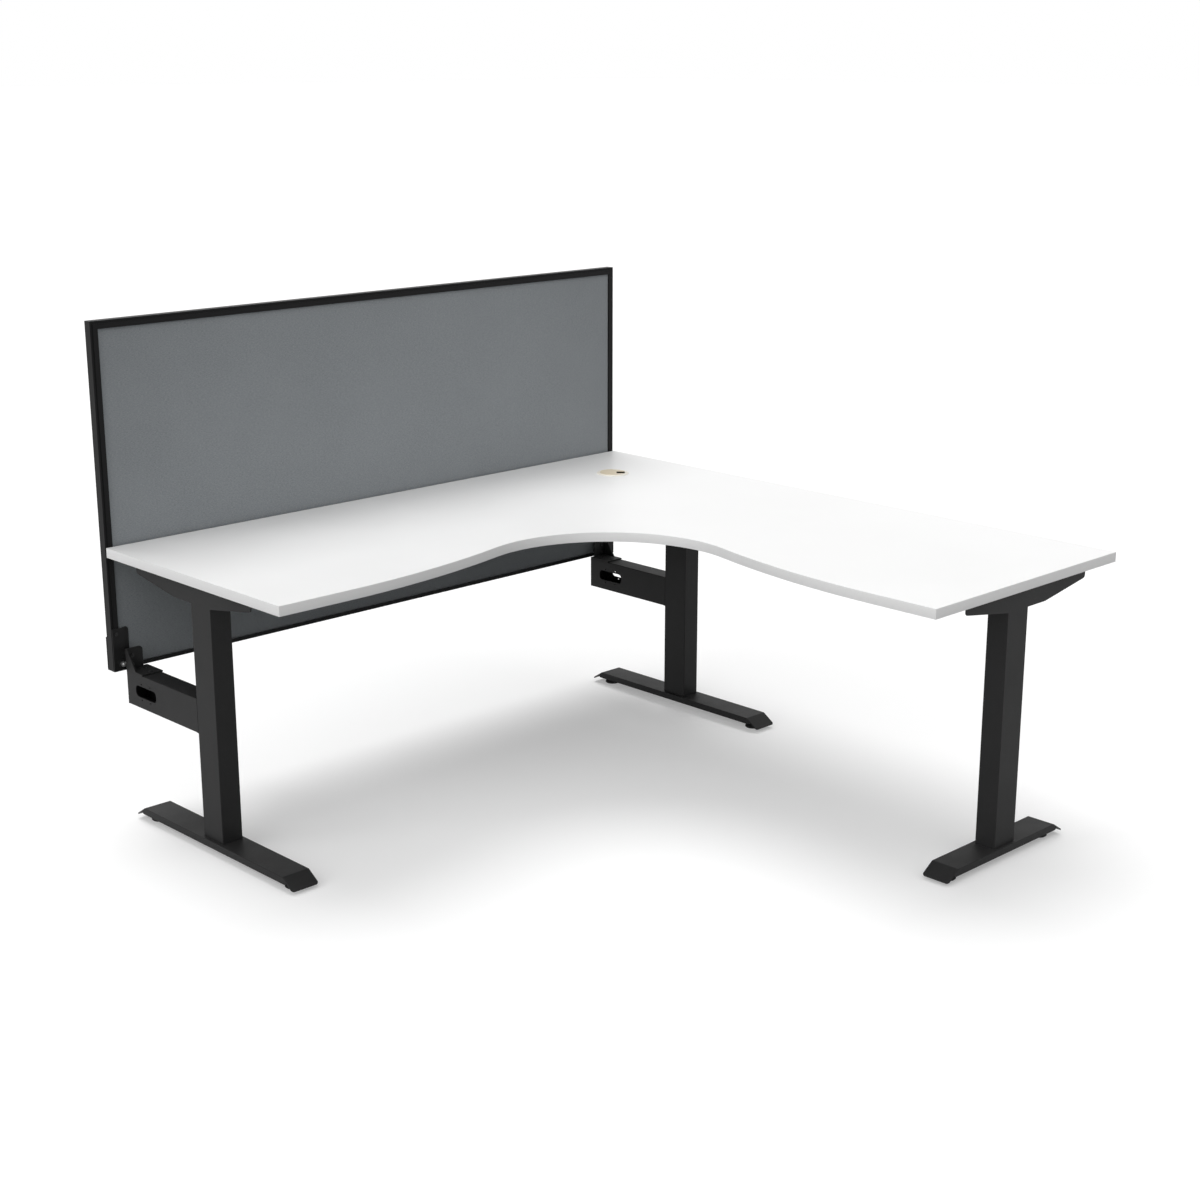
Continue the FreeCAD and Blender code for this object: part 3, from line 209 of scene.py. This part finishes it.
def tint(tree, mask, first, second):
    """Mixes two colours by a mask; gives back its output."""
    node = add_node(tree, "ShaderNodeMix", {"data_type": "RGBA"})
    link(tree, mask, node.inputs["Factor"])
    for index, colour in ((MIX_FIRST, first), (MIX_SECOND, second)):
        if isinstance(colour, tuple):
            node.inputs[index].default_value = (*colour, 1.0)
        else:
            link(tree, colour, node.inputs[index])
    return node.outputs[MIX_RESULT]


def stretched(tree, vector, scale):
    """A vector stretched by its own scale on each axis; gives back its output."""
    node = add_node(tree, "ShaderNodeMapping", inputs={"Scale": scale})
    link(tree, vector, node.inputs["Vector"])
    return node.outputs["Vector"]


def axes_of(tree, vector):
    """The X, Y and Z outputs of a vector or a colour."""
    node = tree.nodes.new("ShaderNodeSeparateXYZ")
    link(tree, vector, node.inputs[0])
    return node.outputs


def noise_value(tree, vector, scale, detail, roughness):
    """A noise texture on a vector; gives back its value."""
    node = add_node(tree, "ShaderNodeTexNoise", inputs={"Detail": detail, "Roughness": roughness})
    link(tree, vector, node.inputs["Vector"])
    if isinstance(scale, (int, float)):
        node.inputs["Scale"].default_value = scale
    else:
        link(tree, scale, node.inputs["Scale"])
    return node.outputs[0]


def start_group(name, numbers, outputs):
    """An empty shader node group with a Vector input, number inputs and number outputs."""
    tree = bpy.data.node_groups.new(name, "ShaderNodeTree")
    tree.interface.new_socket("Vector", in_out="INPUT", socket_type="NodeSocketVector")
    for label, value in numbers.items():
        socket = tree.interface.new_socket(label, in_out="INPUT", socket_type="NodeSocketFloat")
        socket.default_value = value
    for label in outputs:
        tree.interface.new_socket(label, in_out="OUTPUT", socket_type="NodeSocketFloat")
    return tree, tree.nodes.new("NodeGroupInput").outputs, tree.nodes.new("NodeGroupOutput").inputs


# Patterns that several finishes share

def make_mottle_group():
    """Cloudy patches and a fine grain, as coats and mouldings have."""
    tree, given, result = start_group("mottle_and_grain", {"Patch Scale": 9.0, "Grain Scale": 900.0},
                                      ("Patches", "Grain"))
    patches = noise_value(tree, given["Vector"], given["Patch Scale"], detail=5.0, roughness=0.55)
    grain = noise_value(tree, given["Vector"], given["Grain Scale"], detail=2.0, roughness=0.5)
    link(tree, spread_between(tree, patches, low=0.3, high=0.7), result["Patches"])
    link(tree, spread_between(tree, grain, low=0.3, high=0.7), result["Grain"])
    return tree


def make_scuff_group():
    """Thin scattered rub marks, and dust that gathers on faces that look up."""
    tree, given, result = start_group("rub_and_dust", {"Rub Scale": 30.0, "Dust Scale": 14.0},
                                      ("Rubs", "Dust"))
    drawn_out = stretched(tree, given["Vector"], RUB_STRETCH)
    marks = noise_value(tree, drawn_out, given["Rub Scale"], detail=6.0, roughness=0.65)
    link(tree, spread_between(tree, marks, low=0.62, high=0.74), result["Rubs"])
    geometry = tree.nodes.new("ShaderNodeNewGeometry")
    facing = axes_of(tree, geometry.outputs["Normal"])
    upward = spread_between(tree, facing["Z"], low=0.55, high=0.95)
    cloud = noise_value(tree, given["Vector"], given["Dust Scale"], detail=7.0, roughness=0.6)
    settled = spread_between(tree, cloud, low=0.35, high=0.75)
    link(tree, maths(tree, "MULTIPLY", upward, settled), result["Dust"])
    return tree


def thread_row(tree, count):
    """The rounded height of a row of threads, for a running count of threads."""
    return maths(tree, "ABSOLUTE", maths(tree, "SINE", maths(tree, "MULTIPLY", count, math.pi)))


def make_weave_group():
    """A plain weave on X and Z: threads that pass over and under, with uneven yarn and flecks."""
    tree, given, result = start_group("plain_weave", {"Threads": 900.0}, ("Height", "Thread", "Fleck"))
    wobble = add_node(tree, "ShaderNodeTexNoise", inputs={"Scale": 60.0, "Detail": 2.0})
    link(tree, given["Vector"], wobble.inputs["Vector"])
    shift = add_node(tree, "ShaderNodeVectorMath", {"operation": "SCALE"}, {"Scale": YARN_WANDER})
    link(tree, wobble.outputs["Color"], shift.inputs[0])
    moved = add_node(tree, "ShaderNodeVectorMath", {"operation": "ADD"})
    link(tree, given["Vector"], moved.inputs[0])
    link(tree, shift.outputs["Vector"], moved.inputs[1])
    spot = axes_of(tree, moved.outputs["Vector"])
    across = maths(tree, "MULTIPLY", spot["X"], given["Threads"])
    along = maths(tree, "MULTIPLY", spot["Z"], given["Threads"])
    cell = maths(tree, "ADD", maths(tree, "FLOOR", across), maths(tree, "FLOOR", along))
    over = maths(tree, "ABSOLUTE", maths(tree, "MODULO", cell, WEAVE_REPEAT))
    under = maths(tree, "SUBTRACT", 1.0, over)
    warp = maths(tree, "MULTIPLY", thread_row(tree, across), over)
    weft = maths(tree, "MULTIPLY", thread_row(tree, along), under)
    link(tree, maths(tree, "ADD", warp, weft), result["Height"])
    link(tree, over, result["Thread"])
    slub = stretched(tree, given["Vector"], SLUB_STRETCH)
    fleck = noise_value(tree, slub, scale=160.0, detail=4.0, roughness=0.7)
    link(tree, spread_between(tree, fleck, low=0.35, high=0.7), result["Fleck"])
    return tree


MOTTLE = make_mottle_group()
SCUFF = make_scuff_group()
WEAVE = make_weave_group()


# Finishes

def start_material(name, fixed):
    """A material with a Principled shader whose constant sockets are set on the shader itself."""
    material = bpy.data.materials.new(name)
    material.use_nodes = True
    tree = material.node_tree
    shader = tree.nodes["Principled BSDF"]
    for socket, value in fixed.items():
        shader.inputs[socket].default_value = value
    place = tree.nodes.new("ShaderNodeTexCoord")
    return material, tree, shader, place.outputs["Object"]


def use_group(tree, group, vector, values):
    """A node group in a material, on a vector and with its own values; gives back its outputs."""
    node = add_node(tree, "ShaderNodeGroup", {"node_tree": group}, values)
    link(tree, vector, node.inputs["Vector"])
    return node.outputs


def add_bump(tree, shader, height, strength, distance):
    """Let a height show as relief on a shader."""
    bump = add_node(tree, "ShaderNodeBump", inputs={"Strength": strength, "Distance": distance})
    link(tree, height, bump.inputs["Height"])
    link(tree, bump.outputs["Normal"], shader.inputs["Normal"])


def coat_material(name, tones, specular, dust, gloss, relief, grain_scale, painted_shade_top=None):
    """A coated or moulded finish: mottled, rubbed, a little dusty, grained and maybe darkened low down
    by painted shade.
    """
    material, tree, shader, place = start_material(name, {"Specular IOR Level": specular})
    mottle = use_group(tree, MOTTLE, place, {"Patch Scale": 7.0, "Grain Scale": grain_scale})
    scuff = use_group(tree, SCUFF, place, {"Rub Scale": 26.0, "Dust Scale": 12.0})
    dark, light = tones
    polished = tuple(min(1.0, value * RUB_GAIN + RUB_LIFT) for value in light)
    colour = tint(tree, mottle["Patches"], dark, light)
    colour = tint(tree, maths(tree, "MULTIPLY", scuff["Rubs"], RUB_SHARE), colour, polished)
    colour = tint(tree, maths(tree, "MULTIPLY", scuff["Dust"], dust), colour, DUST)
    # Painted shade: below a given height the colour turns dark brown, standing in for the shade inside
    # the cable port
    if painted_shade_top is not None:
        height = axes_of(tree, place)["Z"]
        painted_shade = spread_between(tree, height, low=painted_shade_top, high=painted_shade_top - PAINTED_SHADE_FADE)
        colour = tint(tree, painted_shade, colour, PORT_PAINTED_SHADE)
    link(tree, colour, shader.inputs["Base Color"])
    roughness = maths(tree, "ADD", spread(tree, mottle["Patches"], *gloss),
                      maths(tree, "MULTIPLY", scuff["Dust"], DUST_DULLING))
    link(tree, roughness, shader.inputs["Roughness"])
    add_bump(tree, shader, mottle["Grain"], *relief)
    return material


def board_face_material():
    """White melamine: a soft pearl texture and faint cloudiness."""
    material, tree, shader, place = start_material("worktop_white", {"Specular IOR Level": 0.25})
    mottle = use_group(tree, MOTTLE, place, {"Patch Scale": 2.2, "Grain Scale": 650.0})
    link(tree, tint(tree, mottle["Patches"], *WORKTOP_TONES), shader.inputs["Base Color"])
    roughness = maths(tree, "ADD", spread(tree, mottle["Patches"], low=0.36, high=0.44),
                      maths(tree, "MULTIPLY", mottle["Grain"], GRAIN_DULLING))
    link(tree, roughness, shader.inputs["Roughness"])
    add_bump(tree, shader, mottle["Grain"], strength=0.08, distance=0.0004)
    return material


def lines_on(tree, place, stretch):
    """Fine uneven lines, drawn out along one direction."""
    return noise_value(tree, stretched(tree, place, stretch), scale=1.0, detail=3.0, roughness=0.6)


def blend(tree, first, second, second_share):
    """A sum of two values, with a share for the second and the rest for the first."""
    return maths(tree, "ADD", maths(tree, "MULTIPLY", first, 1.0 - second_share),
                 maths(tree, "MULTIPLY", second, second_share))


def edge_band_material():
    """White plastic band: fine lines along the edge from trimming."""
    material, tree, shader, place = start_material("edge_band_white", {"Specular IOR Level": 0.45})
    mottle = use_group(tree, MOTTLE, place, {"Patch Scale": 5.0, "Grain Scale": 900.0})
    trim = lines_on(tree, place, TRIM_LINES)
    shade = blend(tree, mottle["Patches"], trim, second_share=0.4)
    link(tree, tint(tree, shade, *BAND_TONES), shader.inputs["Base Color"])
    link(tree, spread(tree, trim, low=0.3, high=0.42), shader.inputs["Roughness"])
    add_bump(tree, shader, trim, strength=0.12, distance=0.0003)
    return material


def fabric_material():
    """Mid grey woven panel cloth with a slight blue cast, uneven yarn and painted shade in the weave's
    valleys.
    """
    material, tree, shader, place = start_material(
        "screen_cloth", {"Roughness": 0.92, "Specular IOR Level": 0.15, "Sheen Weight": 0.25,
                         "Sheen Roughness": 0.5})
    weave = use_group(tree, WEAVE, place, {"Threads": 620.0})
    mottle = use_group(tree, MOTTLE, place, {"Patch Scale": 5.0, "Grain Scale": 400.0})
    colour = tint(tree, weave["Fleck"], *YARN_TONES)
    colour = tint(tree, maths(tree, "MULTIPLY", weave["Thread"], CROSS_SHARE), colour, CROSS_YARN)
    # Painted shade: the colour darkens where the weave is low, in the valleys between threads
    valley_shade = maths(tree, "POWER", maths(tree, "SUBTRACT", 1.0, weave["Height"]), VALLEY_SHADE_POWER)
    colour = tint(tree, maths(tree, "MULTIPLY", valley_shade, VALLEY_SHADE_SHARE), colour, WEAVE_VALLEY_SHADE)
    colour = tint(tree, maths(tree, "MULTIPLY", mottle["Patches"], CLOUD_SHARE), colour, CLOTH_CLOUD)
    link(tree, colour, shader.inputs["Base Color"])
    add_bump(tree, shader, weave["Height"], strength=0.5, distance=0.0005)
    return material


def frame_bar_material(name, stretch):
    """Black coated section bar, with faint drawing lines along its length."""
    material, tree, shader, place = start_material(name, {"Specular IOR Level": 0.1})
    mottle = use_group(tree, MOTTLE, place, {"Patch Scale": 6.0, "Grain Scale": 1500.0})
    drawn = lines_on(tree, place, stretch)
    shade = blend(tree, mottle["Patches"], drawn, second_share=0.5)
    link(tree, tint(tree, shade, *FRAME_BAR_TONES), shader.inputs["Base Color"])
    link(tree, spread(tree, drawn, low=0.36, high=0.52), shader.inputs["Roughness"])
    add_bump(tree, shader, drawn, strength=0.1, distance=0.0002)
    return material


def plated_material():
    """Zinc plated steel: a cool bright metal with spangle and handling marks."""
    material, tree, shader, place = start_material("zinc_plate", {"Metallic": 1.0})
    mottle = use_group(tree, MOTTLE, place, {"Patch Scale": 160.0, "Grain Scale": 2600.0})
    link(tree, tint(tree, mottle["Patches"], *ZINC_TONES), shader.inputs["Base Color"])
    link(tree, spread(tree, mottle["Patches"], low=0.28, high=0.46), shader.inputs["Roughness"])
    add_bump(tree, shader, mottle["Grain"], strength=0.15, distance=0.0002)
    return material


def chipboard_material():
    """Raw particle board: pressed chips of several browns."""
    material, tree, shader, place = start_material("raw_chipboard", {"Specular IOR Level": 0.2})
    chips = add_node(tree, "ShaderNodeTexVoronoi", inputs={"Scale": 260.0, "Randomness": 1.0})
    link(tree, place, chips.inputs["Vector"])
    chance = axes_of(tree, chips.outputs["Color"])
    link(tree, tint(tree, chance["X"], *CHIP_TONES), shader.inputs["Base Color"])
    link(tree, spread(tree, chance["Y"], low=0.7, high=0.92), shader.inputs["Roughness"])
    add_bump(tree, shader, chips.outputs["Distance"], strength=0.4, distance=0.0006)
    return material


POWDER_COAT = coat_material("black_powder_coat", POWDER_COAT_TONES, specular=0.16, dust=0.02,
                            gloss=(0.46, 0.56), relief=(0.22, 0.00025), grain_scale=1400.0)
BLACK_OXIDE = coat_material("black_oxide", BLACK_OXIDE_TONES, specular=0.3, dust=0.02,
                            gloss=(0.34, 0.48), relief=(0.12, 0.0002), grain_scale=2200.0)
MOULDED_BLACK = coat_material("moulded_black", MOULDED_TONES, specular=0.22, dust=0.03,
                              gloss=(0.5, 0.62), relief=(0.25, 0.0003), grain_scale=1000.0)
RING_CREAM = coat_material("port_ring_cream", PORT_RING_TONES, specular=0.45, dust=0.03,
                           gloss=(0.34, 0.44), relief=(0.08, 0.0002), grain_scale=1500.0,
                           painted_shade_top=RING_PAINTED_SHADE_TOP)
CAP_CREAM = coat_material("port_cap_cream", PORT_CAP_TONES, specular=0.45, dust=0.04,
                          gloss=(0.34, 0.44), relief=(0.1, 0.0002), grain_scale=1500.0,
                          painted_shade_top=CAP_PAINTED_SHADE_TOP)
WORKTOP_WHITE = board_face_material()
BAND_WHITE = edge_band_material()
SCREEN_CLOTH = fabric_material()
RAIL_BLACK = frame_bar_material("screen_rail_black", LINES_ALONG_X)
STILE_BLACK = frame_bar_material("screen_stile_black", LINES_ALONG_Z)
ZINC = plated_material()
CHIPBOARD = chipboard_material()

FINISHES = {
    "worktop_melamine": WORKTOP_WHITE,
    "edge_plastic": BAND_WHITE,
    "port_ring_plastic": RING_CREAM,
    "port_cap_plastic": CAP_CREAM,
    "black_steel": POWDER_COAT,
    "black_bolts": BLACK_OXIDE,
    "zinc_steel": ZINC,
    "leveller_plastic": MOULDED_BLACK,
    "black_plastic": MOULDED_BLACK,
    "screen_frame_metal": RAIL_BLACK,
    "screen_fabric": SCREEN_CLOTH,
    "core_board": CHIPBOARD,
}


def finish_cad_nodes():
    """Give every CAD node the finish of its slot; the upright frame bars have their lines upright."""
    slots = {part["node"]: part["material_slot"] for part in frame["record"]["subparts"]}
    for name, node in NODES.items():
        node.data.materials.clear()
        node.data.materials.append(STILE_BLACK if name.endswith("_stile") else FINISHES[slots[name]])


# Modelling helpers

def take(piece):
    """Make a piece the only selected and active object."""
    bpy.ops.object.select_all(action="DESELECT")
    piece.hide_viewport = False
    piece.select_set(True)
    bpy.context.view_layer.objects.active = piece


def bevel_edges(piece, width, segments):
    """Round a piece's sharp edges and shade it smooth between them."""
    take(piece)
    modifier = piece.modifiers.new("rounding", "BEVEL")
    modifier.width = width
    modifier.segments = segments
    modifier.limit_method = "ANGLE"
    modifier.angle_limit = math.radians(SHARP_DEGREES)
    bpy.ops.object.modifier_apply(modifier="rounding")
    bpy.ops.object.shade_smooth_by_angle(angle=math.radians(SMOOTH_DEGREES))


def rounded_copy(node, name, width, segments):
    """A copy of a CAD node with its loose triangles joined and its edges rounded."""
    piece = bpy.data.objects.new(name, NODES[node].data.copy())
    SCENE.collection.objects.link(piece)
    take(piece)
    bpy.ops.object.mode_set(mode="EDIT")
    bpy.ops.mesh.select_all(action="SELECT")
    bpy.ops.mesh.remove_doubles(threshold=WELD_DISTANCE)
    bpy.ops.mesh.dissolve_limited(angle_limit=math.radians(FLAT_DEGREES))
    bpy.ops.object.mode_set(mode="OBJECT")
    bevel_edges(piece, width, segments)
    return piece


def dress(piece, body, material, replaced):
    """Give a new piece its finish, its body and the CAD nodes that it stands for."""
    piece.data.materials.clear()
    piece.data.materials.append(material)
    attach(piece, body)
    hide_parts(*replaced)


# Screen cloth

def make_cloth(name, node, faces_front):
    """A stretched cloth over one face of the core, tucked into the frame's groove all round."""
    low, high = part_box(node)
    middle = (low + high) / 2
    width = high.x - low.x
    height = high.z - low.z
    outer = low.y if faces_front else high.y
    inward = 1.0 if faces_front else -1.0
    bpy.ops.object.select_all(action="DESELECT")
    bpy.ops.mesh.primitive_grid_add(x_subdivisions=CLOTH_COLUMNS, y_subdivisions=CLOTH_ROWS, size=1.0,
                                    rotation=(inward * math.pi / 2, 0.0, 0.0))
    cloth = bpy.context.active_object
    cloth.name = name
    cloth.scale = (width, height, 1.0)
    cloth.location = (middle.x, outer + inward * CLOTH_STAND_OFF, middle.z)
    bpy.ops.object.transform_apply(location=True, rotation=True, scale=True)
    bpy.ops.object.mode_set(mode="EDIT")
    bpy.ops.mesh.select_all(action="SELECT")
    bpy.ops.mesh.inset(thickness=CLOTH_HEM, depth=0.0)
    bpy.ops.object.mode_set(mode="OBJECT")
    for vertex in cloth.data.vertices:
        spot = vertex.co
        across = abs(spot.x - middle.x) / (width / 2)
        up = abs(spot.z - middle.z) / (height / 2)
        crown = max(0.0, 1.0 - across ** CROWN_POWER) * max(0.0, 1.0 - up ** CROWN_POWER)
        pull = noise.noise(Vector((spot.x * RIPPLES_PER_METRE, 0.0, spot.z * RIPPLES_PER_METRE)))
        spot.y -= inward * crown * (CLOTH_CROWN + CLOTH_RIPPLE * pull)
        if across > TUCK_FROM_SHARE or up > TUCK_FROM_SHARE:
            spot.y += inward * CLOTH_TUCK
    take(cloth)
    thickness = cloth.modifiers.new("thickness", "SOLIDIFY")
    thickness.thickness = CLOTH_THICKNESS
    thickness.offset = -1.0
    bpy.ops.object.modifier_apply(modifier="thickness")
    bpy.ops.object.shade_smooth()
    dress(cloth, "desk", SCREEN_CLOTH, (node,))


# Worktop edge

def make_edge_band():
    """The band with its outer arrises eased."""
    band = rounded_copy("edge_band", "edge_band_eased", BAND_EASE, EASE_SEGMENTS)
    dress(band, "desk", BAND_WHITE, ("edge_band",))


# Stage

def seen_rays(tree):
    """One for rays that the camera sees directly, in gloss or through glass, and zero for light."""
    path = tree.nodes.new("ShaderNodeLightPath")
    direct = maths(tree, "MAXIMUM", path.outputs["Is Camera Ray"], path.outputs["Is Glossy Ray"])
    return maths(tree, "MAXIMUM", direct, path.outputs["Is Transmission Ray"])


def make_floor():
    """A wide pale floor that takes the object's shadow and shows white to the camera."""
    bpy.ops.object.select_all(action="DESELECT")
    bpy.ops.mesh.primitive_plane_add(size=FLOOR_SIZE, location=(0.0, 0.0, 0.0))
    floor = bpy.context.active_object
    floor.name = "studio_floor"
    bpy.ops.object.transform_apply(location=True, rotation=True, scale=True)
    material = bpy.data.materials.new("studio_floor_white")
    material.use_nodes = True
    tree = material.node_tree
    tree.nodes.clear()
    seen = seen_rays(tree)
    matte = tree.nodes.new("ShaderNodeBsdfDiffuse")
    link(tree, spread(tree, seen, FLOOR_LIT, FLOOR_SEEN), matte.inputs["Color"])
    glow = add_node(tree, "ShaderNodeEmission", inputs={"Color": WHITE})
    link(tree, maths(tree, "MULTIPLY", seen, FLOOR_GLOW), glow.inputs["Strength"])
    both = tree.nodes.new("ShaderNodeAddShader")
    out = tree.nodes.new("ShaderNodeOutputMaterial")
    link(tree, matte.outputs[0], both.inputs[0])
    link(tree, glow.outputs[0], both.inputs[1])
    link(tree, both.outputs[0], out.inputs["Surface"])
    floor.data.materials.append(material)


def make_world():
    """Even soft light from all round, shown as white."""
    world = bpy.data.worlds.new("studio_surround")
    SCENE.world = world
    world.use_nodes = True
    tree = world.node_tree
    background = tree.nodes["Background"]
    background.inputs["Color"].default_value = WHITE
    strength = spread(tree, seen_rays(tree), SURROUND_LIT, SURROUND_SEEN)
    link(tree, strength, background.inputs["Strength"])


def make_lamp(name, strength, degrees, towards):
    """A wide soft lamp with even light, shining along a direction."""
    data = bpy.data.lights.new(name, "SUN")
    data.energy = strength
    data.angle = math.radians(degrees)
    lamp = bpy.data.objects.new(name, data)
    lamp.rotation_euler = Vector(towards).to_track_quat("-Z", "Y").to_euler()
    SCENE.collection.objects.link(lamp)


def make_camera():
    """The photograph's viewpoint: about 46 degrees off the screen, looking down by about 16."""
    data = bpy.data.cameras.new("photo_camera")
    data.sensor_width = CAMERA_SENSOR
    data.lens = CAMERA_LENS
    data.clip_end = CAMERA_REACH
    camera = bpy.data.objects.new("photo_camera", data)
    camera.location = CAMERA_PLACE
    yaw = math.radians(CAMERA_YAW)
    pitch = math.radians(CAMERA_PITCH)
    level = math.cos(pitch)
    ahead = Vector((level * math.cos(yaw), level * math.sin(yaw), -math.sin(pitch)))
    camera.rotation_euler = ahead.to_track_quat("-Z", "Y").to_euler()
    SCENE.collection.objects.link(camera)
    SCENE.camera = camera


finish_cad_nodes()
make_cloth("screen_cloth_front", "screen_front_fabric", True)
make_cloth("screen_cloth_back", "screen_back_fabric", False)
make_edge_band()
make_floor()
make_world()
for lamp_facts in LAMPS:
    make_lamp(*lamp_facts)
make_camera()
SCENE.view_settings.view_transform = "Standard"
